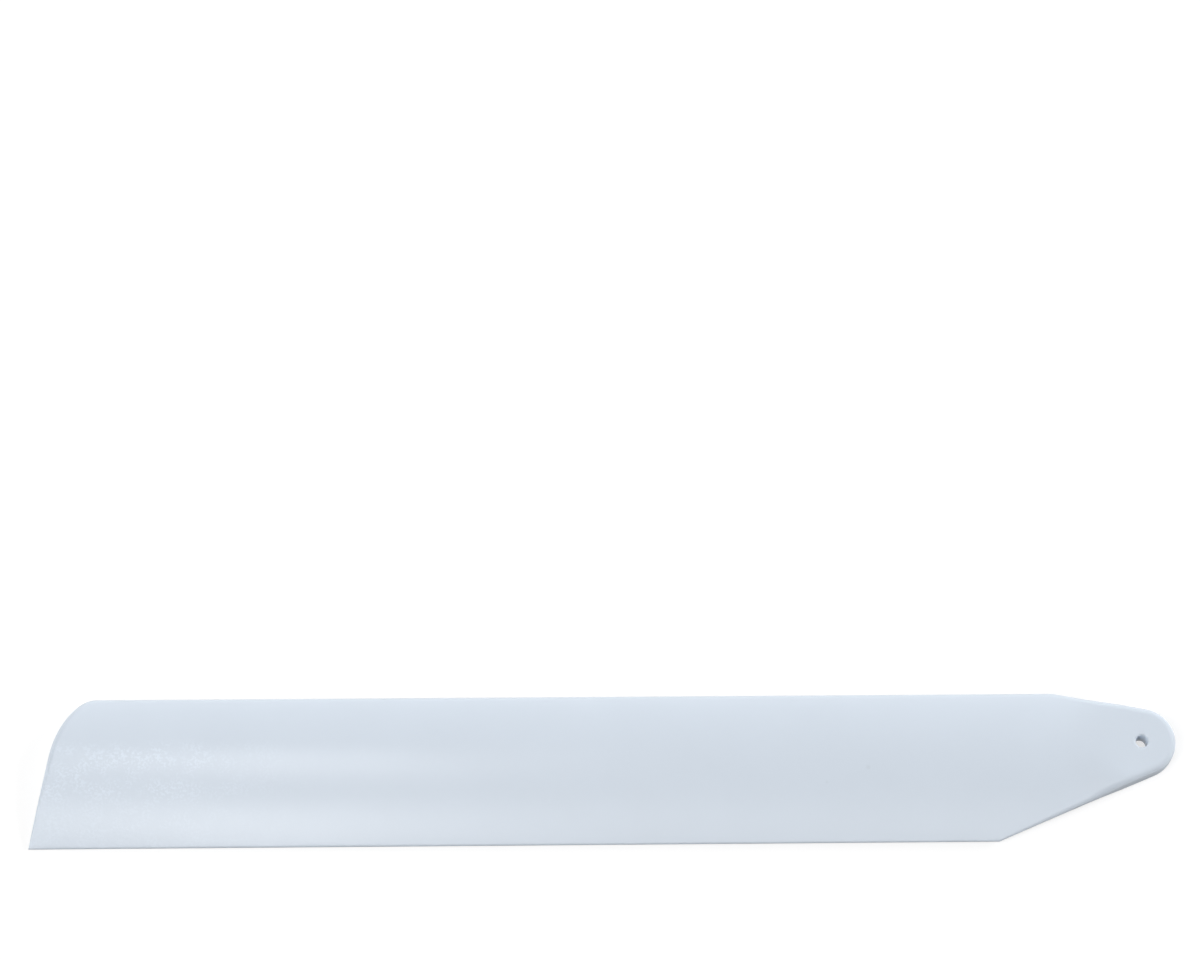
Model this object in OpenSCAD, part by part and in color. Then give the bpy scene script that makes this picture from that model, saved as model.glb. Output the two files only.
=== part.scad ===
// Main rotor blade of a micro model helicopter: one injection moulding with an aerofoil section,
// a raked tip with a rounded leading corner, and a tapered root that ends in a flat, drilled pad.
// The origin is on the bolt hole's axis, in the plane of the root's underside. +X runs out along
// the span, +Y aft to the trailing edge and +Z up through the bolt hole.

/* [Planform] */
// Distance from the bolt hole to the trailing corner of the tip
hole_to_tip = 136; // [100:0.5:170]
// Width of the blade from its leading edge to its trailing edge
chord = 18.5; // [16:0.1:22]
// Distance from the leading edge back to the bolt hole
hole_from_le = 6.5; // [5.5:0.1:8]
// Distance by which the tip's leading corner falls short of its trailing corner
tip_rake = 3.5; // [0.5:0.1:6]
// Reach of the rounded tip corner along the leading edge
corner_span = 4.1; // [2:0.1:8]
// Reach of the rounded tip corner along the tip edge
corner_chord = 7.5; // [4:0.1:10]

/* [Root] */
// Radius of the root's round end
root_r = 4.2; // [3.5:0.05:4.3]
// Distance by which the round end's centre lies ahead of the bolt hole
root_ahead = 0.1; // [0:0.02:0.2]
// Distance from the bolt hole to the break where the leading edge tapers in
le_break = 10.5; // [8:0.1:14]
// Distance from the bolt hole to the break where the trailing edge tapers in
te_break = 17.8; // [14:0.1:24]
// Thickness of the flat root pad
root_t = 2.5; // [2:0.05:3.2]
// Radius about the bolt hole within which the root is flat
pad_r = 4.4; // [4.3:0.05:5]
// Radius about the bolt hole beyond which the root is the plain blade section
blend_r = 9.5; // [7:0.1:11]
// Diameter of the bolt hole
bolt_d = 1.5; // [1.2:0.05:2.5]
// Radius of the rounded lead-in at the bolt hole's upper mouth
bolt_lead = 0.25; // [0.05:0.01:0.5]

/* [Section] */
// Height of the section's crest above its underside
section_t = 2.4; // [2:0.05:3.2]
// Distance of the crest behind the leading edge
crest_at = 6.1; // [5:0.1:8]
// Power of the curve that falls from the crest to the trailing edge
aft_fullness = 1.8; // [1.4:0.05:2.4]
// Height of the nose line above the underside
nose_h = 1.15; // [0.8:0.05:1.4]
// Height of the narrow land along the nose line
nose_land = 0.14; // [0.1:0.02:0.3]
// Distance behind the leading edge at which the underside comes level
belly_at = 3.4; // [2:0.1:5]
// Depth of the hollow in the rear of the underside, above the line to the trailing edge
hollow = 0.3; // [0:0.05:0.5]
// Thickness of the trailing edge
te_t = 0.3; // [0.2:0.05:0.8]
// Height of the trailing edge's lower corner above the underside, at the root
te_lift = 0.45; // [0.2:0.05:0.8]
// Angle by which the blade turns nose-up from the root to the tip
twist = 2; // [0:0.1:4]

/* [Edges] */
// Radius of the rounded upper edge of the root and the tip
edge_r = 0.75; // [0.3:0.05:1]
// Radius of the broken lower edge
edge_break = 0.2; // [0.05:0.05:0.4]

/* [Hidden] */
plastic = [0.86, 0.91, 0.94];

// Facets of each stretch of the outline, of the edge rounding and across the chord
root_arc_steps = 14;
taper_steps = 14;
span_steps = 10;
corner_steps = 14;
edge_steps = 5;
chord_steps = 24;
// Closer spacing of the chordwise rows toward the nose
nose_crowding = 1.35;
// Largest share of the local thickness that each edge rounding may take
round_share = 0.4;
break_share = 0.12;
// Reach of the bolt hole's cutter beyond each face
cut_room = 1;

le_y = -hole_from_le;
te_y = chord - hole_from_le;

// Outline, seen from above: the round root end runs into both tapers without a corner
le_break_point = [le_break, le_y];
te_break_point = [te_break, te_y];
tip_te_corner = [hole_to_tip, te_y];
tip_le_corner = [hole_to_tip - tip_rake, le_y];
tip_direction = unit(tip_te_corner - tip_le_corner);
corner_start = tip_le_corner - [corner_span, 0];
corner_end = tip_le_corner + corner_chord * tip_direction;
root_centre = [0, -root_ahead];
// Directions from the round end's centre to the points where the tapers touch it
le_reach = le_break_point - root_centre;
te_reach = te_break_point - root_centre;
le_touch = atan2(le_reach.y, le_reach.x) - acos(root_r / norm(le_reach));
te_touch = atan2(te_reach.y, te_reach.x) + acos(root_r / norm(te_reach));
// Half of the narrow flat that closes the round end, as an angle
end_half = 90 / root_arc_steps / 4;

function unit(v) = v / norm(v);
function between(a, b, share) = a + share * (b - a);
function spaced(a, b, steps) = [for (i = [1:steps]) between(a, b, i / steps)];
function on_root(angle) = root_centre + root_r * [cos(angle), sin(angle)];
function on_corner(angle) = tip_le_corner + (1 - sin(angle)) * (corner_start - tip_le_corner)
    + (1 - cos(angle)) * (corner_end - tip_le_corner);

// Root end to tip along the leading side, then along the trailing side, with as many points each
le_side = concat(
    [for (i = [0:root_arc_steps]) on_root(between(end_half - 180, le_touch, i / root_arc_steps))],
    spaced(on_root(le_touch), le_break_point, taper_steps),
    spaced(le_break_point, corner_start, span_steps),
    [for (i = [1:corner_steps]) on_corner(90 * i / corner_steps)]);
te_side = concat(
    [for (i = [0:root_arc_steps]) on_root(between(180 - end_half, te_touch, i / root_arc_steps))],
    spaced(on_root(te_touch), te_break_point, taper_steps),
    spaced(te_break_point, tip_te_corner, span_steps + corner_steps));
stations = len(le_side);
outline = concat(le_side, [for (i = [stations - 1:-1:0]) te_side[i]]);

// The outline moved inward by a distance, as a loop with the same corners
function inward(a, b) = let (d = unit(b - a)) [-d.y, d.x];
function inset_point(i, distance) = let (
    count = len(outline),
    before = inward(outline[(i + count - 1) % count], outline[i]),
    after = inward(outline[i], outline[(i + 1) % count])
) outline[i] + distance * (before + after) / (1 + before * after);

// Heights of the plain section, at a distance behind the leading edge
function quarter_ellipse(share) = share >= 1 ? 1 : sqrt(1 - pow(1 - max(share, 0), 2));
function ease(share) = let (held = min(max(share, 0), 1)) held * held * (3 - 2 * held);
// A hump from 0 to 0 that rises gently, is 1 at its highest and comes down at an angle
function hump(share) = 27 / 4 * share * share * (1 - share);
function section_top(aft) = aft <= crest_at
    ? max(nose_h + nose_land / 2, between(nose_h, section_t, quarter_ellipse(aft / crest_at)))
    : between(section_t, te_lift + te_t, pow((aft - crest_at) / (chord - crest_at), aft_fullness));
function section_bottom(aft) = aft <= belly_at
    ? min(nose_h - nose_land / 2, nose_h * (1 - quarter_ellipse(aft / belly_at)))
    : let (rear = (aft - belly_at) / (chord - belly_at)) te_lift * ease(rear) + hollow * hump(rear);

// Share of the flat root pad at a point of the plan: all of it near the bolt hole, none on the blade
function pad_share(p) = 1 - ease((norm(p) - pad_r) / (blend_r - pad_r));
// Rise of a point as the section turns about the line through the bolt hole
function twist_rise(p) = let (out = min(max((p.x - te_break) / (hole_to_tip - te_break), 0), 1))
    -p.y * tan(twist * out);
function plain_top(p) = between(section_top(p.y - le_y) + twist_rise(p), root_t, pad_share(p));
function plain_bottom(p) = between(section_bottom(p.y - le_y) + twist_rise(p), 0, pad_share(p));

// Heights with the edges rounded, at a distance in from the outline
function rounding(radius, distance) = radius * (1 - quarter_ellipse(distance / radius));
function top_z(p, distance) = let (high = plain_top(p), thick = high - plain_bottom(p))
    high - rounding(min(edge_r, round_share * thick), distance);
function bottom_z(p, distance) = let (low = plain_bottom(p), thick = plain_top(p) - low)
    low + rounding(min(edge_break, break_share * thick), distance);

// Rings of plan points that step in from the outline over the width of the rounded edge
chord_rows = [for (j = [0:chord_steps]) pow(j / chord_steps, nose_crowding)];
ring_insets = [for (k = [0:edge_steps]) edge_r * (1 - cos(90 * k / edge_steps))];
function le_at(i, distance) = inset_point(i, distance);
function te_at(i, distance) = inset_point(2 * stations - 1 - i, distance);
function chord_at(i, distance) = [for (share = chord_rows) between(le_at(i, distance), te_at(i, distance), share)];
function ring(distance) = concat(
    [for (i = [0:stations - 2]) le_at(i, distance)],
    chord_at(stations - 1, distance),
    [for (i = [stations - 2:-1:0]) te_at(i, distance)]);
ring_size = 2 * stations + chord_steps - 1;
// Plan points between the innermost ring's two sides, one row across the chord for each station
inner_rows = [for (i = [1:stations - 2]) [for (j = [1:chord_steps - 1]) chord_at(i, edge_r)[j]]];

top_points = concat(
    [for (d = ring_insets) each [for (p = ring(d)) [p.x, p.y, top_z(p, d)]]],
    [for (row = inner_rows) each [for (p = row) [p.x, p.y, top_z(p, edge_r)]]]);
bottom_points = concat(
    [for (d = ring_insets) each [for (p = ring(d)) [p.x, p.y, bottom_z(p, d)]]],
    [for (row = inner_rows) each [for (p = row) [p.x, p.y, bottom_z(p, edge_r)]]]);
side_size = len(top_points);

// Number of the point at station i and chord row j of one skin, past the root's end
function skin_at(i, j) = let (first = edge_steps * ring_size)
    j == 0 ? first + i
    : j == chord_steps ? first + ring_size - 1 - i
    : i == stations - 1 ? first + i + j
    : first + ring_size + (i - 1) * (chord_steps - 1) + j - 1;
function turned(face) = [for (i = [len(face) - 1:-1:0]) face[i]];
function two_triangles(a, b, c, d) = [[a, b, c], [a, c, d]];

// Faces of the upper skin, clockwise from outside: edge rings, root end, then rows along the span
skin_faces = concat(
    [for (k = [0:edge_steps - 1], i = [0:ring_size - 1])
        let (a = k * ring_size + i, b = k * ring_size + (i + 1) % ring_size)
            each two_triangles(a, a + ring_size, b + ring_size, b)],
    [concat([skin_at(0, 0)], [for (j = [0:chord_steps]) skin_at(1, j)], [skin_at(0, chord_steps)])],
    [for (i = [1:stations - 2], j = [0:chord_steps - 1])
        each two_triangles(skin_at(i, j), skin_at(i + 1, j), skin_at(i + 1, j + 1), skin_at(i, j + 1))]);
wall_faces = [for (i = [0:ring_size - 1]) let (next = (i + 1) % ring_size)
    each two_triangles(i, next, side_size + next, side_size + i)];
moulding_faces = concat(
    [for (face = skin_faces) turned(face)],
    [for (face = skin_faces) [for (i = face) i + side_size]],
    wall_faces);

// Cutter for the bolt hole: a straight bore whose upper mouth is rounded out to the pad's face
module bolt_hole() {
    translate([0, 0, -cut_room])
        cylinder(d = bolt_d, h = root_t + 2 * cut_room, $fn = 48);
    translate([0, 0, root_t - bolt_lead])
        rotate_extrude($fn = 48)
            difference() {
                square([bolt_d / 2 + bolt_lead, bolt_lead + cut_room]);
                translate([bolt_d / 2 + bolt_lead, 0])
                    circle(bolt_lead, $fn = 32);
            }
}

module rotor_blade() {
    color(plastic)
        difference() {
            polyhedron(concat(top_points, bottom_points), moulding_faces, convexity = 4);
            bolt_hole();
        }
}

rotor_blade();
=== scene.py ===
"""Models the finished skin of a micro model helicopter's rotor blade and lays it on a white floor.

The blade is moulded in pale blue-white plastic. Lengths are in metres, in the part's own frame: the
origin is on the bolt hole's axis in the plane of the root's underside, +X runs out along the span,
+Y aft to the trailing edge and +Z up.
"""

import math

import bmesh
import bpy
import numpy as np
from bpy.props import FloatProperty, FloatVectorProperty, PointerProperty
from mathutils import Matrix, Vector


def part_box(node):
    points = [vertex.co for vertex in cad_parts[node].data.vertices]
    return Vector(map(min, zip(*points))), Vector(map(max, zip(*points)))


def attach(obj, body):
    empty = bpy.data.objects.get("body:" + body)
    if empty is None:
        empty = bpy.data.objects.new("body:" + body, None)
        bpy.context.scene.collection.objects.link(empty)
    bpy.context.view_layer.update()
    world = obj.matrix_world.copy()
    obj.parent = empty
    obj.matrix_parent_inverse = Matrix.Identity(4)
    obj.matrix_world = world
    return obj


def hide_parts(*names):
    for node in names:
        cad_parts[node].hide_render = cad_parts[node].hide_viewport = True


bl_info = {
    "name": "Rotor Blade",
    "version": (1, 0, 0),
    "blender": (4, 5, 0),
    "location": "View3D > Sidebar > Rotor Blade",
    "description": "Moulds a model helicopter's rotor blade and lays it on a white floor",
    "category": "Object",
}

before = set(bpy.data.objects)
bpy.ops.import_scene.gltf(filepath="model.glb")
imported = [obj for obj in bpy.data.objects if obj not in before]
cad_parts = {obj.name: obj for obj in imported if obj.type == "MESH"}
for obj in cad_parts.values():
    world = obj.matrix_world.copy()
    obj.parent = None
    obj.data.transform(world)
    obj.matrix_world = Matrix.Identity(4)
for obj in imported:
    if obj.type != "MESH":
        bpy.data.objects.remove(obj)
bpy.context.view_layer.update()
LOW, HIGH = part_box("rotor_blade")
MM = 0.001

# Steps of each stretch of the outline, across the chord, round the bolt hole, up its rounded mouth
# and round the floor
ROOT_ARC_STEPS = 24
TAPER_STEPS = 28
SPAN_STEPS = 44
CORNER_STEPS = 20
CHORD_STEPS = 48
HOLE_STEPS = 64
LEAD_STEPS = 6
FLOOR_STEPS = 96
# Closer spacing of the chordwise rows toward the nose
NOSE_CROWDING = 1.35
# Distances of the rim's rings in from the outline, as shares of the rounded edge's radius
RIM_RINGS = (0.0, 0.02, 0.06, 0.13, 0.24, 0.40, 0.65, 1.0)
# Largest share of the local thickness that each edge rounding may take
ROUND_SHARE = 0.4
BREAK_SHARE = 0.12
# Points closer than this are one, and faces within this of the root's flats are part of them
MERGE_GAP = 0.0005 * MM
LEVEL_GAP = 0.01 * MM
# Upward share of a face's normal past which it counts as a top face
LOOKS_UP = 0.9
# Edges that turn by less than this are shaded as one smooth skin
SMOOTH_ANGLE = math.radians(32)

# How upright the skin is where its duller finish sets in, and where it is full
WALL_RANGE = (0.3, 0.8)
# Cloudiness of the plastic: its size, and its two shades as shares of the colour
CLOUD_SIZE = 8 * MM
CLOUD_SHADES = (0.98, 1.02)
# Painted sheen toward the tip, as lighter flecks and the clumps they gather in where the lights
# gleam on the grain: size in grains, and the levels of the noise at which they set in and are full
PAINTED_SHEEN_FLECKS = (0.7, 0.42, 0.66)
PAINTED_SHEEN_CLUMPS = (5, 0.32, 0.62)
# Shade of the painted sheen flecks as a share of the colour, the stretch of the chord over which
# they and the coarser grain set in, and that over which the sheen fades to a share of its strength
PAINTED_SHEEN_SHADE = 1.09
GRAIN_AND_SHEEN_FRONT = (-1.5 * MM, 0.5 * MM)
PAINTED_SHEEN_REAR = (5 * MM, 7 * MM)
PAINTED_SHEEN_REAR_SHARE = 0.4
# Specks of dust on the upper skin, in millimetres: place along span and chord, radius, and shade
DUST = ((33.6, 3.0, 0.45, 0.07), (38.7, 4.8, 0.3, 0.16), (-0.2, -3.0, 0.5, 0.06))
DUST_LEVEL = 2.2
DUST_COLOUR = (0.1, 0.1, 0.1, 1)

# Softboxes: name, direction from the blade, distance, width, depth, strength and whether they gleam
SOFTBOXES = (
    ("tip_side_key", (0.64, 0.29, 0.71), 1.6, 1.3, 1.3, 0.731, True),
    ("root_side_fill", (-0.92, -0.21, 0.33), 2.0, 0.7, 1.4, 0.78, False),
    ("back_fill", (0.0, -0.956, 0.292), 2.0, 3.0, 1.1, 0.67, False),
    ("ceiling_panel", (0.0, 0.17, 0.985), 2.0, 1.4, 0.36, 0.077, True),
    ("sheen_strip_nose", (0.112, -0.100, 0.989), 2.0, 0.10, 0.26, 0.024, True),
    ("sheen_strip_tail", (0.128, 0.195, 0.977), 2.0, 0.13, 0.26, 0.026, True),
)
WHITE = (1, 1, 1, 1)
WORLD_LIGHT = 0.08
FLOOR_ROUGHNESS = 0.9
# Light that the floor gives off to the eye alone, so that it is white where nothing shades it
FLOOR_GLOW = 0.64
# Width of the camera's sensor, in millimetres
SENSOR_WIDTH = 36


def length(name, description, default):
    """A length that a user may change."""
    return FloatProperty(
        name=name, description=description, default=default, unit="LENGTH", precision=5
    )


def degrees(name, description, default):
    """An angle that a user may change, given in degrees."""
    return FloatProperty(
        name=name, description=description, default=math.radians(default), subtype="ANGLE"
    )


def portion(name, description, default):
    """A share from 0 to 1 that a user may change."""
    return FloatProperty(name=name, description=description, default=default, min=0, max=1)


def tint(name, description, default):
    """A colour that a user may change."""
    return FloatVectorProperty(
        name=name, description=description, default=default, subtype="COLOR", size=3, min=0, max=1
    )


class BladeSizes(bpy.types.PropertyGroup):
    """Sizes of the blade's planform, root, section and edges."""

    hole_to_tip: length("Hole to Tip", "Bolt hole to the tip's trailing corner", HIGH.x)
    chord: length("Chord", "Leading edge to trailing edge", HIGH.y - LOW.y)
    hole_from_le: length("Hole from Nose", "Leading edge back to the bolt hole", -LOW.y)
    tip_rake: length("Tip Rake", "Shortfall of the tip's leading corner", 3.5 * MM)
    corner_span: length("Corner Span", "Rounded tip corner along the leading edge", 4.1 * MM)
    corner_chord: length("Corner Chord", "Rounded tip corner along the tip edge", 7.5 * MM)
    root_radius: length("Root Radius", "Round root end", 4.2 * MM)
    root_ahead: length("Root Ahead", "Round end's centre ahead of the bolt hole", 0.1 * MM)
    le_break: length("Leading Break", "Where the leading edge tapers in", 10.5 * MM)
    te_break: length("Trailing Break", "Where the trailing edge tapers in", 17.8 * MM)
    root_thickness: length("Root Thickness", "Thickness of the flat root pad", HIGH.z)
    pad_radius: length("Pad Radius", "The root is flat inside this radius", 4.4 * MM)
    blend_radius: length("Blend Radius", "Plain section beyond this radius", 9.5 * MM)
    bolt_diameter: length("Bolt Hole", "Diameter of the bolt hole", 1.5 * MM)
    bolt_lead: length("Lead-In", "Rounded upper mouth of the bolt hole", 0.25 * MM)
    section_thickness: length("Section", "Height of the section's crest", 2.4 * MM)
    crest_at: length("Crest", "Crest behind the leading edge", 6.1 * MM)
    nose_height: length("Nose Height", "Nose line above the underside", 1.15 * MM)
    nose_land: length("Nose Land", "Narrow land along the nose line", 0.14 * MM)
    belly_at: length("Belly", "Where the underside comes level", 3.4 * MM)
    hollow: length("Hollow", "Depth of the hollow in the rear underside", 0.3 * MM)
    edge_thickness: length("Edge Thickness", "Thickness of the trailing edge", 0.3 * MM)
    edge_lift: length("Edge Lift", "Trailing edge above the underside", 0.45 * MM)
    rim_radius: length("Rim Radius", "Rounded upper rim of root and tip", 0.75 * MM)
    rim_break: length("Rim Break", "Broken lower rim", 0.2 * MM)
    aft_fullness: FloatProperty(
        name="Aft Fullness", description="Power of the fall to the trailing edge", default=1.8
    )
    twist: degrees("Twist", "Nose-up turn from root to tip", 2)


class PlasticFinish(bpy.types.PropertyGroup):
    """Colour and surface of the moulded plastic."""

    colour: tint("Colour", "Pale blue-white of the plastic", (0.671, 0.739, 0.821))
    roughness: portion("Roughness", "Satin of the skin", 0.21)
    wall_roughness: portion("Wall Roughness", "Duller skin of the upright sides", 0.6)
    grain_size: length("Grain Size", "Width of the mould's fine grain", 0.45 * MM)
    grain_depth: length("Grain Depth", "Depth of the mould's fine grain", 0.004 * MM)
    fleck_depth: length("Fleck Depth", "Depth of the coarser grain toward the tip", 0.010 * MM)
    # Where along the span the coarser grain and the painted sheen flecks set in, and where they are
    # full
    grain_and_sheen_start: length("Fleck Start", "Where along the span the coarser grain sets in", 98 * MM)
    grain_and_sheen_full: length("Fleck Full", "Where along the span it has its full depth", 124 * MM)


class StageSettings(bpy.types.PropertyGroup):
    """Floor, light and camera."""

    floor_colour: tint("Floor", "Colour of the floor as it lights the blade", (0.42, 0.42, 0.42))
    floor_radius: length("Floor Radius", "Reach of the floor about the blade", 3.0)
    camera_target: FloatVectorProperty(
        name="Camera Target",
        description="Point of the floor at the centre of the picture",
        default=(66.07 * MM, -35.51 * MM, 0),
        subtype="TRANSLATION",
        size=3,
    )
    camera_distance: length("Camera Distance", "Camera to its target", 442.39 * MM)
    camera_elevation: degrees("Camera Elevation", "Camera above the floor", 69.58)
    camera_azimuth: degrees("Camera Azimuth", "Turn from straight behind the blade", -0.435)
    camera_lens: FloatProperty(
        name="Camera Lens", description="Focal length", default=104.88, unit="CAMERA"
    )


def mix(a, b, share):
    """A value part of the way from a to b."""
    return a + share * (b - a)


def ease(share):
    """0 to 1 with a gentle start and end."""
    held = np.clip(share, 0, 1)
    return held * held * (3 - 2 * held)


def quarter_ellipse(share):
    """0 to 1 with an upright start and a level end."""
    return np.sqrt(1 - (1 - np.clip(share, 0, 1)) ** 2)


def hump(share):
    """0 to 0, rising gently to 1 at two thirds and coming down at an angle."""
    return 27 / 4 * share**2 * (1 - share)


def spaced(a, b, steps):
    """Points from just past a to b."""
    return [mix(np.array(a), np.array(b), i / steps) for i in range(1, steps + 1)]


def blade_sides(size):
    """The outline's leading and trailing sides from root end to tip, with as many points each."""
    le_y, te_y = -size.hole_from_le, size.chord - size.hole_from_le
    le_break, te_break = (size.le_break, le_y), (size.te_break, te_y)
    tip_te = np.array((size.hole_to_tip, te_y))
    tip_le = np.array((size.hole_to_tip - size.tip_rake, le_y))
    along_tip = (tip_te - tip_le) / np.linalg.norm(tip_te - tip_le)
    corner_start = tip_le - (size.corner_span, 0)
    corner_end = tip_le + size.corner_chord * along_tip
    root = np.array((0, -size.root_ahead))
    le_touch, te_touch = (
        math.atan2(*(corner - root)[::-1])
        + way * math.acos(size.root_radius / np.linalg.norm(corner - root))
        for corner, way in ((le_break, -1), (te_break, 1))
    )

    def on_root(angle):
        """A point of the round root end."""
        return root + size.root_radius * np.array((math.cos(angle), math.sin(angle)))

    def on_corner(angle):
        """A point of the rounded tip corner."""
        back, down = 1 - math.sin(angle), 1 - math.cos(angle)
        return tip_le + back * (corner_start - tip_le) + down * (corner_end - tip_le)

    shares = [i / ROOT_ARC_STEPS for i in range(ROOT_ARC_STEPS + 1)]
    leading = [on_root(mix(-math.pi, le_touch, share)) for share in shares]
    leading += spaced(on_root(le_touch), le_break, TAPER_STEPS)
    leading += spaced(le_break, corner_start, SPAN_STEPS)
    turns = [math.pi / 2 * i / CORNER_STEPS for i in range(1, CORNER_STEPS + 1)]
    leading += [on_corner(angle) for angle in turns]
    trailing = [on_root(mix(math.pi, te_touch, share)) for share in shares]
    trailing += spaced(on_root(te_touch), te_break, TAPER_STEPS)
    trailing += spaced(te_break, tip_te, SPAN_STEPS + CORNER_STEPS)
    return np.array(leading), np.array(trailing)


def inward_shift(outline):
    """For each corner of a loop, how far it moves as its edges move in by one unit."""
    ahead = np.roll(outline, -1, axis=0) - outline
    ahead /= np.linalg.norm(ahead, axis=1, keepdims=True)
    after = np.stack((-ahead[:, 1], ahead[:, 0]), axis=1)
    before = np.roll(after, 1, axis=0)
    return (before + after) / (1 + np.sum(before * after, axis=1, keepdims=True))


def outline_loop(size):
    """The outline as one loop, from the root end along the leading side and back."""
    leading, trailing = blade_sides(size)
    return np.concatenate((leading, trailing[:0:-1]))


def distance_in(points, outline):
    """Distance of each plan point in from the outline, whose corners all point outwards."""
    ahead = np.roll(outline, -1, axis=0) - outline
    ahead /= np.linalg.norm(ahead, axis=1, keepdims=True)
    inward = np.stack((-ahead[:, 1], ahead[:, 0]), axis=1)
    offsets = points @ inward.T - np.sum(outline * inward, axis=1)
    return np.clip(offsets.min(axis=1), 0, None)


def section_top(size, aft):
    """Height of the plain section's upper side behind the leading edge."""
    nose_rise = (size.section_thickness - size.nose_height) * quarter_ellipse(aft / size.crest_at)
    fore = size.nose_height + np.maximum(size.nose_land / 2, nose_rise)
    behind = np.clip((aft - size.crest_at) / (size.chord - size.crest_at), 0, 1)
    edge_top = size.edge_lift + size.edge_thickness
    rear = mix(size.section_thickness, edge_top, behind**size.aft_fullness)
    return np.where(aft <= size.crest_at, fore, rear)


def section_bottom(size, aft):
    """Height of the plain section's underside behind the leading edge."""
    nose_fall = size.nose_height * quarter_ellipse(aft / size.belly_at)
    fore = size.nose_height - np.maximum(size.nose_land / 2, nose_fall)
    behind = np.clip((aft - size.belly_at) / (size.chord - size.belly_at), 0, 1)
    rear = size.edge_lift * ease(behind) + size.hollow * hump(behind)
    return np.where(aft <= size.belly_at, fore, rear)


def rounding(radius, distance):
    """Drop of a rounded rim at a distance in from the outline."""
    return radius * (1 - quarter_ellipse(distance / radius))


def skin_heights(size, points):
    """Heights of the upper skin and the underside at plan points."""
    radius = np.linalg.norm(points, axis=1)
    pad = 1 - ease((radius - size.pad_radius) / (size.blend_radius - size.pad_radius))
    out = np.clip((points[:, 0] - size.te_break) / (size.hole_to_tip - size.te_break), 0, 1)
    turn = -points[:, 1] * np.tan(size.twist * out)
    aft = points[:, 1] + size.hole_from_le
    high = mix(section_top(size, aft) + turn, size.root_thickness, pad)
    low = mix(section_bottom(size, aft) + turn, 0, pad)
    distance = distance_in(points, outline_loop(size))
    thick = high - low
    top = high - rounding(np.minimum(size.rim_radius, ROUND_SHARE * thick), distance)
    bottom = low + rounding(np.minimum(size.rim_break, BREAK_SHARE * thick), distance)
    return top, bottom


def vertex_places(mesh):
    """The mesh's vertices as rows of x, y and z."""
    places = np.empty(len(mesh.vertices) * 3, np.float32)
    mesh.vertices.foreach_get("co", places)
    return places.reshape(-1, 3).astype(float)


def set_vertex_places(mesh, places):
    """Moves the mesh's vertices."""
    mesh.vertices.foreach_set("co", places.astype(np.float32).ravel())
    mesh.update()


def select_none():
    """Leaves nothing selected, so that the next operator acts on the new piece alone."""
    bpy.ops.object.select_all(action="DESELECT")


def plan_sheet(size):
    """A grid laid to the outline, short of it all round by the rim's radius."""
    leading, trailing = blade_sides(size)
    stations = len(leading)
    outline = outline_loop(size)
    inner = outline + size.rim_radius * inward_shift(outline)
    inner_leading = inner[:stations]
    inner_trailing = np.concatenate((inner[:1], inner[stations:][::-1]))
    select_none()
    bpy.ops.mesh.primitive_grid_add(
        x_subdivisions=stations - 1, y_subdivisions=CHORD_STEPS, size=1
    )
    sheet = bpy.context.object
    places = vertex_places(sheet.data)
    # The new grid is one unit wide each way, about the origin
    station = np.rint((places[:, 0] + 0.5) * (stations - 1)).astype(int)
    row = np.rint((places[:, 1] + 0.5) * CHORD_STEPS) / CHORD_STEPS
    share = (row**NOSE_CROWDING)[:, None]
    places[:, :2] = mix(inner_leading[station], inner_trailing[station], share)
    set_vertex_places(sheet.data, places)
    return sheet


def close_root_end():
    """Draws the sheet's first row together into the one point at the root's end."""
    bpy.ops.object.mode_set(mode="EDIT")
    bpy.ops.mesh.select_all(action="SELECT")
    bpy.ops.mesh.remove_doubles(threshold=MERGE_GAP)
    bpy.ops.object.mode_set(mode="OBJECT")


def extend_rim(sheet, size):
    """Extrudes the sheet's border out to the outline in the rim's rings."""
    distances = [share * size.rim_radius for share in RIM_RINGS[::-1]]
    bpy.ops.object.mode_set(mode="EDIT")
    bpy.ops.mesh.select_mode(type="EDGE")
    bpy.ops.mesh.select_all(action="SELECT")
    bpy.ops.mesh.region_to_loop()
    for here, there in zip(distances, distances[1:]):
        bpy.ops.mesh.extrude_edges_move()
        solid = bmesh.from_edit_mesh(sheet.data)
        first = next(edge for edge in solid.edges if edge.select)
        loop = list(first.verts)
        count = sum(vert.select for vert in solid.verts)
        while len(loop) < count:
            edges = [edge for edge in loop[-1].link_edges if edge.select]
            onward = [edge.other_vert(loop[-1]) for edge in edges]
            loop.append(next(vert for vert in onward if vert is not loop[-2]))
        ring = np.array([vert.co.xy for vert in loop], float)
        area = np.sum(ring[:, 0] * np.roll(ring[:, 1], -1) - ring[:, 1] * np.roll(ring[:, 0], -1))
        if area < 0:
            loop.reverse()
            ring = ring[::-1]
        for vert, place in zip(loop, ring + (there - here) * inward_shift(ring)):
            vert.co.xy = place
        bmesh.update_edit_mesh(sheet.data)
    bpy.ops.object.mode_set(mode="OBJECT")


def thicken(sheet, size):
    """Extrudes the flat plan into a solid and lifts its two skins to the blade's section."""
    bpy.ops.object.mode_set(mode="EDIT")
    bpy.ops.mesh.select_mode(type="FACE")
    bpy.ops.mesh.select_all(action="SELECT")
    bpy.ops.mesh.extrude_region_move(TRANSFORM_OT_translate={"value": (0, 0, size.root_thickness)})
    bpy.ops.mesh.select_all(action="SELECT")
    bpy.ops.mesh.normals_make_consistent(inside=False)
    bpy.ops.object.mode_set(mode="OBJECT")
    places = vertex_places(sheet.data)
    upper = places[:, 2] > size.root_thickness / 2
    top, bottom = skin_heights(size, places[:, :2])
    places[:, 2] = np.where(upper, top, bottom)
    set_vertex_places(sheet.data, places)


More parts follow.
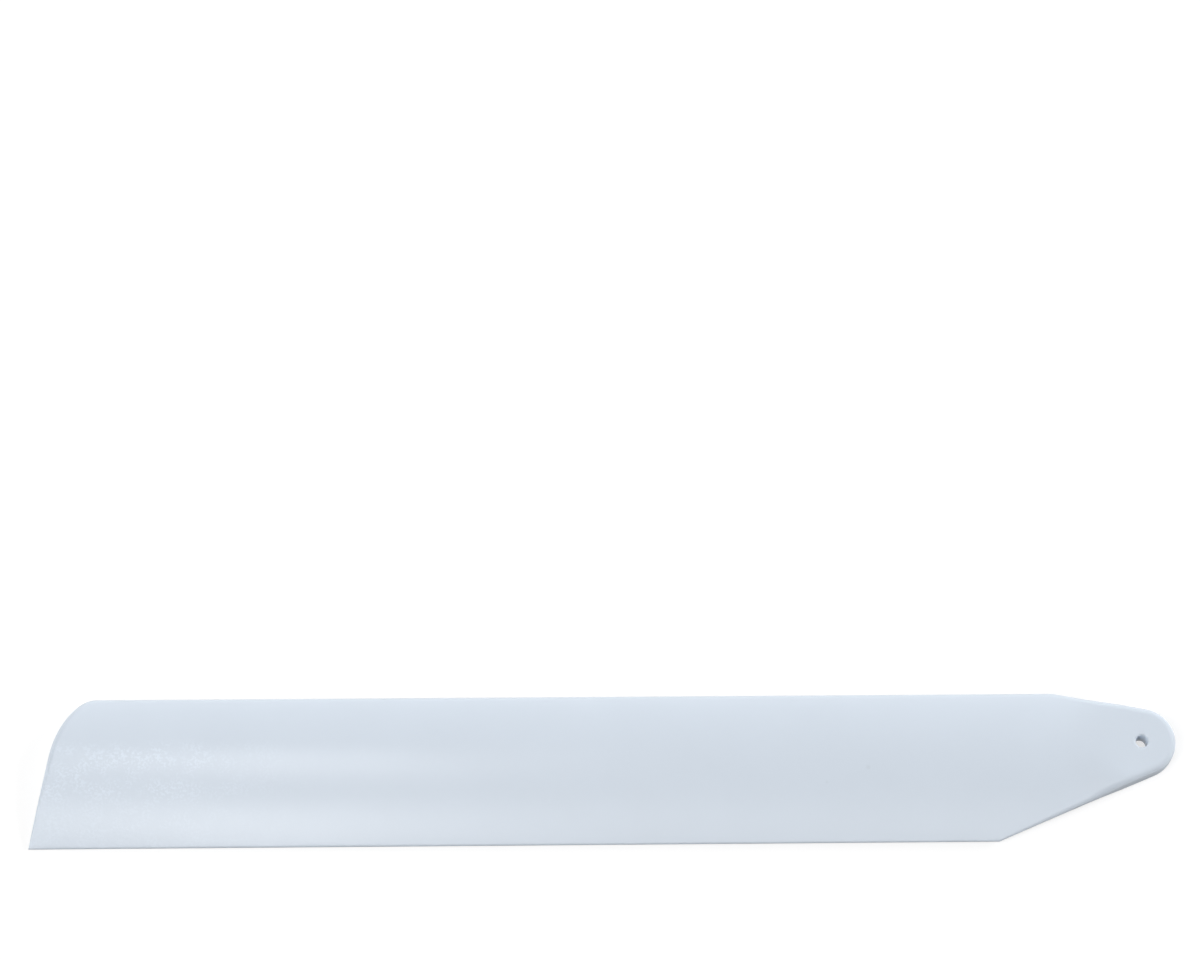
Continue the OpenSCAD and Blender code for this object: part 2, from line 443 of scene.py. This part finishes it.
def bolt_cutter(size):
    """The bolt hole's shape: a straight bore with a rounded flare at its upper mouth."""
    bore, lead = size.bolt_diameter / 2, size.bolt_lead
    foot = -size.root_thickness / 2
    shoulder = size.root_thickness - lead
    select_none()
    bpy.ops.mesh.primitive_cylinder_add(
        vertices=HOLE_STEPS,
        radius=bore,
        depth=shoulder - foot,
        location=(0, 0, (shoulder + foot) / 2),
    )
    cutter = bpy.context.object
    bpy.ops.object.transform_apply(location=True)
    bpy.ops.object.mode_set(mode="EDIT")
    bpy.ops.mesh.select_mode(type="FACE")
    bpy.ops.mesh.select_all(action="DESELECT")
    solid = bmesh.from_edit_mesh(cutter.data)
    for face in solid.faces:
        face.select_set(face.normal.z > LOOKS_UP)
    bmesh.update_edit_mesh(cutter.data)
    radius, height = bore, shoulder
    for step in range(1, LEAD_STEPS + 1):
        angle = math.pi / 2 * step / LEAD_STEPS
        wider, higher = bore + lead * (1 - math.cos(angle)), shoulder + lead * math.sin(angle)
        rise = (0, 0, higher - height)
        bpy.ops.mesh.extrude_region_move(TRANSFORM_OT_translate={"value": rise})
        bpy.ops.transform.resize(value=(wider / radius, wider / radius, 1))
        radius, height = wider, higher
    bpy.ops.mesh.extrude_region_move(TRANSFORM_OT_translate={"value": (0, 0, lead)})
    bpy.ops.object.mode_set(mode="OBJECT")
    return cutter


def drill(blade, size):
    """Clears the pad round the bolt hole to one flat face on each side, then cuts the hole."""
    bpy.context.view_layer.objects.active = blade
    blade.select_set(True)
    for level in (size.root_thickness, 0):
        bpy.ops.object.mode_set(mode="EDIT")
        bpy.ops.mesh.select_mode(type="FACE")
        bpy.ops.mesh.select_all(action="DESELECT")
        solid = bmesh.from_edit_mesh(blade.data)
        for face in solid.faces:
            centre = face.calc_center_median()
            near = centre.xy.length < size.bolt_diameter
            face.select_set(near and abs(centre.z - level) < LEVEL_GAP)
        bmesh.update_edit_mesh(blade.data)
        bpy.ops.mesh.dissolve_faces()
        bpy.ops.object.mode_set(mode="OBJECT")
    cutter = bolt_cutter(size)
    select_none()
    blade.select_set(True)
    bpy.context.view_layer.objects.active = blade
    hole = blade.modifiers.new("Bolt hole", "BOOLEAN")
    hole.operation = "DIFFERENCE"
    hole.solver = "EXACT"
    hole.object = cutter
    bpy.ops.object.modifier_apply(modifier=hole.name)
    bpy.data.objects.remove(cutter)


def mark_walls(blade):
    """Notes on each vertex how upright its skin is, for the plastic's finish."""
    facing = np.empty(len(blade.data.vertices) * 3, np.float32)
    blade.data.vertex_normals.foreach_get("vector", facing)
    upright = blade.data.attributes.new("upright", "FLOAT", "POINT")
    upright.data.foreach_set("value", 1 - np.abs(facing.reshape(-1, 3)[:, 2]))


def feed(tree, source, target):
    """Gives a socket a plain value, or links another socket to it."""
    if isinstance(source, bpy.types.NodeSocket):
        tree.links.new(source, target)
    else:
        target.default_value = source


def add_math(tree, operation, first, second):
    """A Math node of two values or sockets."""
    node = tree.nodes.new("ShaderNodeMath")
    node.operation = operation
    for value, socket in zip((first, second), node.inputs):
        feed(tree, value, socket)
    return node.outputs[0]


def add_ramp(tree, value, start, end, low=0, high=1):
    """A smooth change from low to high as a value goes from start to end."""
    node = tree.nodes.new("ShaderNodeMapRange")
    node.interpolation_type = "SMOOTHSTEP"
    for number, socket in zip((value, start, end, low, high), node.inputs):
        feed(tree, number, socket)
    return node.outputs["Result"]


def add_blend(tree, first, second, share):
    """A colour part of the way from first to second."""
    node = tree.nodes.new("ShaderNodeMix")
    node.data_type = "RGBA"
    for value, name in ((share, "Factor"), (first, "A"), (second, "B")):
        feed(tree, value, node.inputs[name])
    return node.outputs["Result"]


def add_noise(tree, place, size, detail=2):
    """Noise whose features are about one size wide."""
    node = tree.nodes.new("ShaderNodeTexNoise")
    node.inputs["Scale"].default_value = 1 / size
    node.inputs["Detail"].default_value = detail
    feed(tree, place, node.inputs["Vector"])
    return node.outputs["Fac"]


def add_patches(tree, place, grain, size, start, end):
    """Patches of noise of a size in grains, which set in at start and are full at end."""
    return add_ramp(tree, add_noise(tree, place, size * grain), start, end)


def shaded(colour, share):
    """A colour made darker or lighter."""
    return (*(share * part for part in colour), 1)


def dust(tree, place):
    """Shade of the few specks of dust, as a share."""
    shade = 0
    for x, y, radius, depth in DUST:
        away = tree.nodes.new("ShaderNodeVectorMath")
        away.operation = "DISTANCE"
        away.inputs[1].default_value = (x * MM, y * MM, DUST_LEVEL * MM)
        feed(tree, place, away.inputs[0])
        speck = add_ramp(tree, away.outputs["Value"], 0, radius * MM, depth, 0)
        shade = add_math(tree, "MAXIMUM", shade, speck)
    return shade


def satin_plastic(finish):
    """Pale moulded plastic: fine grain, coarser at the tip, painted sheen flecks toward the tip,
    faint cloudiness and a little dust.
    """
    material = bpy.data.materials.new("satin_plastic")
    material.use_nodes = True
    tree = material.node_tree
    shader = tree.nodes["Principled BSDF"]
    place = tree.nodes.new("ShaderNodeTexCoord").outputs["Object"]
    upright = tree.nodes.new("ShaderNodeAttribute")
    upright.attribute_name = "upright"
    roughness = add_ramp(
        tree, upright.outputs["Fac"], *WALL_RANGE, finish.roughness, finish.wall_roughness
    )
    feed(tree, roughness, shader.inputs["Roughness"])
    axes = tree.nodes.new("ShaderNodeSeparateXYZ")
    feed(tree, place, axes.inputs[0])
    # Where the coarser grain and the painted sheen flecks lie: out toward the tip, behind the nose
    outward = add_ramp(tree, axes.outputs["X"], finish.grain_and_sheen_start, finish.grain_and_sheen_full)
    behind = add_ramp(tree, axes.outputs["Y"], *GRAIN_AND_SHEEN_FRONT)
    coarse_grain_and_sheen = add_math(tree, "MULTIPLY", outward, behind)
    depth = add_ramp(tree, coarse_grain_and_sheen, 0, 1, finish.grain_depth, finish.fleck_depth)
    grain = add_noise(tree, place, finish.grain_size)
    bump = tree.nodes.new("ShaderNodeBump")
    bump.inputs["Distance"].default_value = 1
    feed(tree, add_math(tree, "MULTIPLY", grain, depth), bump.inputs["Height"])
    feed(tree, bump.outputs["Normal"], shader.inputs["Normal"])
    dark, light = (shaded(finish.colour, share) for share in CLOUD_SHADES)
    tone = add_blend(tree, dark, light, add_noise(tree, place, CLOUD_SIZE, detail=4))
    # Painted sheen: lighter flecks in clumps where the lights gleam on the grain, fading toward the
    # trailing edge
    painted_sheen = add_patches(tree, place, finish.grain_size, *PAINTED_SHEEN_FLECKS)
    sheen_clumps = add_patches(tree, place, finish.grain_size, *PAINTED_SHEEN_CLUMPS)
    sheen_fading = add_ramp(tree, axes.outputs["Y"], *PAINTED_SHEEN_REAR, 1, PAINTED_SHEEN_REAR_SHARE)
    for share in (sheen_clumps, sheen_fading, coarse_grain_and_sheen):
        painted_sheen = add_math(tree, "MULTIPLY", painted_sheen, share)
    tone = add_blend(tree, tone, shaded(finish.colour, PAINTED_SHEEN_SHADE), painted_sheen)
    tone = add_blend(tree, tone, DUST_COLOUR, dust(tree, place))
    feed(tree, tone, shader.inputs["Base Color"])
    return material


def white_floor(stage):
    """A plain white floor that the eye sees a little lighter than it lights the blade."""
    material = bpy.data.materials.new("white_floor")
    material.use_nodes = True
    tree = material.node_tree
    shader = tree.nodes["Principled BSDF"]
    shader.inputs["Base Color"].default_value = (*stage.floor_colour, 1)
    shader.inputs["Roughness"].default_value = FLOOR_ROUGHNESS
    shader.inputs["Specular IOR Level"].default_value = 0
    shader.inputs["Emission Color"].default_value = WHITE
    ray = tree.nodes.new("ShaderNodeLightPath")
    seen = ray.outputs["Is Camera Ray"]
    for kind in ("Is Glossy Ray", "Is Transmission Ray"):
        seen = add_math(tree, "MAXIMUM", seen, ray.outputs[kind])
    glow = add_math(tree, "MULTIPLY", seen, FLOOR_GLOW)
    feed(tree, glow, shader.inputs["Emission Strength"])
    return material


class MouldBlade(bpy.types.Operator):
    """Model the blade as one moulding and give it its plastic"""

    bl_idname = "rotor_blade.mould"
    bl_label = "Mould Blade"

    def execute(self, context):
        size, finish = context.scene.blade_sizes, context.scene.plastic_finish
        blade = plan_sheet(size)
        close_root_end()
        extend_rim(blade, size)
        thicken(blade, size)
        drill(blade, size)
        blade.name = "blade_moulding"
        bpy.ops.object.shade_smooth_by_angle(angle=SMOOTH_ANGLE)
        mark_walls(blade)
        blade.data.materials.append(satin_plastic(finish))
        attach(blade, "root")
        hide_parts("rotor_blade")
        return {"FINISHED"}


def add_softbox(stage, name, direction, distance, width, depth, strength, gleams):
    """An area light that faces the middle of the blade, its depth lying along the chord."""
    towards = Vector(direction).normalized()
    across = Vector((0, 1, 0)).cross(towards).normalized()
    turn = Matrix((across, towards.cross(across), towards)).transposed()
    centre = Vector((stage.camera_target[0], 0, 0))
    bpy.ops.object.light_add(
        type="AREA", location=centre + distance * towards, rotation=turn.to_euler()
    )
    light = bpy.context.object
    light.name = name
    light.data.shape = "RECTANGLE"
    light.data.size, light.data.size_y = width, depth
    light.data.energy = strength * (math.pi * distance) ** 2
    light.visible_glossy = gleams


def lay_floor(stage):
    """Lays the floor in the plane of the root's underside."""
    select_none()
    bpy.ops.mesh.primitive_circle_add(
        vertices=FLOOR_STEPS, radius=stage.floor_radius, fill_type="NGON"
    )
    floor = bpy.context.object
    floor.name = "floor"
    floor.data.materials.append(white_floor(stage))


def light_room(scene):
    """Fills the room with a faint even light."""
    scene.world = scene.world or bpy.data.worlds.new("World")
    scene.world.use_nodes = True
    sky = scene.world.node_tree.nodes["Background"]
    sky.inputs["Color"].default_value = WHITE
    sky.inputs["Strength"].default_value = WORLD_LIGHT


def place_camera(scene, stage):
    """Stands the camera behind and above the blade, facing its target."""
    level, turn = math.cos(stage.camera_elevation), stage.camera_azimuth
    ahead = Vector(
        (math.sin(turn) * level, -math.cos(turn) * level, -math.sin(stage.camera_elevation))
    )
    place = Vector(stage.camera_target) - stage.camera_distance * ahead
    bpy.ops.object.camera_add(location=place, rotation=ahead.to_track_quat("-Z", "Y").to_euler())
    camera = bpy.context.object
    camera.data.sensor_width = SENSOR_WIDTH
    camera.data.lens = stage.camera_lens
    scene.camera = camera


class SetStage(bpy.types.Operator):
    """Lay the white floor, hang the lights and place the camera"""

    bl_idname = "rotor_blade.stage"
    bl_label = "Set Stage"

    def execute(self, context):
        scene, stage = context.scene, context.scene.blade_stage
        scene.view_settings.view_transform = "Standard"
        lay_floor(stage)
        for softbox in SOFTBOXES:
            add_softbox(stage, *softbox)
        light_room(scene)
        place_camera(scene, stage)
        return {"FINISHED"}


class BladePanel(bpy.types.Panel):
    """Lists the blade's operators and values in the sidebar"""

    bl_idname = "VIEW3D_PT_rotor_blade"
    bl_label = "Rotor Blade"
    bl_space_type = "VIEW_3D"
    bl_region_type = "UI"
    bl_category = "Rotor Blade"

    def draw(self, context):
        layout, scene = self.layout, context.scene
        for group in (scene.blade_sizes, scene.plastic_finish, scene.blade_stage):
            box = layout.box()
            for name in group.__annotations__:
                box.prop(group, name)
        for operator in (MouldBlade, SetStage):
            layout.operator(operator.bl_idname)


GROUPS = {
    "blade_sizes": BladeSizes,
    "plastic_finish": PlasticFinish,
    "blade_stage": StageSettings,
}
CLASSES = (*GROUPS.values(), MouldBlade, SetStage, BladePanel)


def register():
    """Adds the classes, and the settings to the scene."""
    for cls in CLASSES:
        bpy.utils.register_class(cls)
    for name, group in GROUPS.items():
        setattr(bpy.types.Scene, name, PointerProperty(type=group))


def unregister():
    """Takes the settings and the classes away again."""
    for name in GROUPS:
        delattr(bpy.types.Scene, name)
    for cls in reversed(CLASSES):
        bpy.utils.unregister_class(cls)


def main():
    """Builds the scene."""
    register()
    bpy.ops.rotor_blade.mould()
    bpy.ops.rotor_blade.stage()
    bpy.context.view_layer.update()


if __name__ == "__main__":
    main()
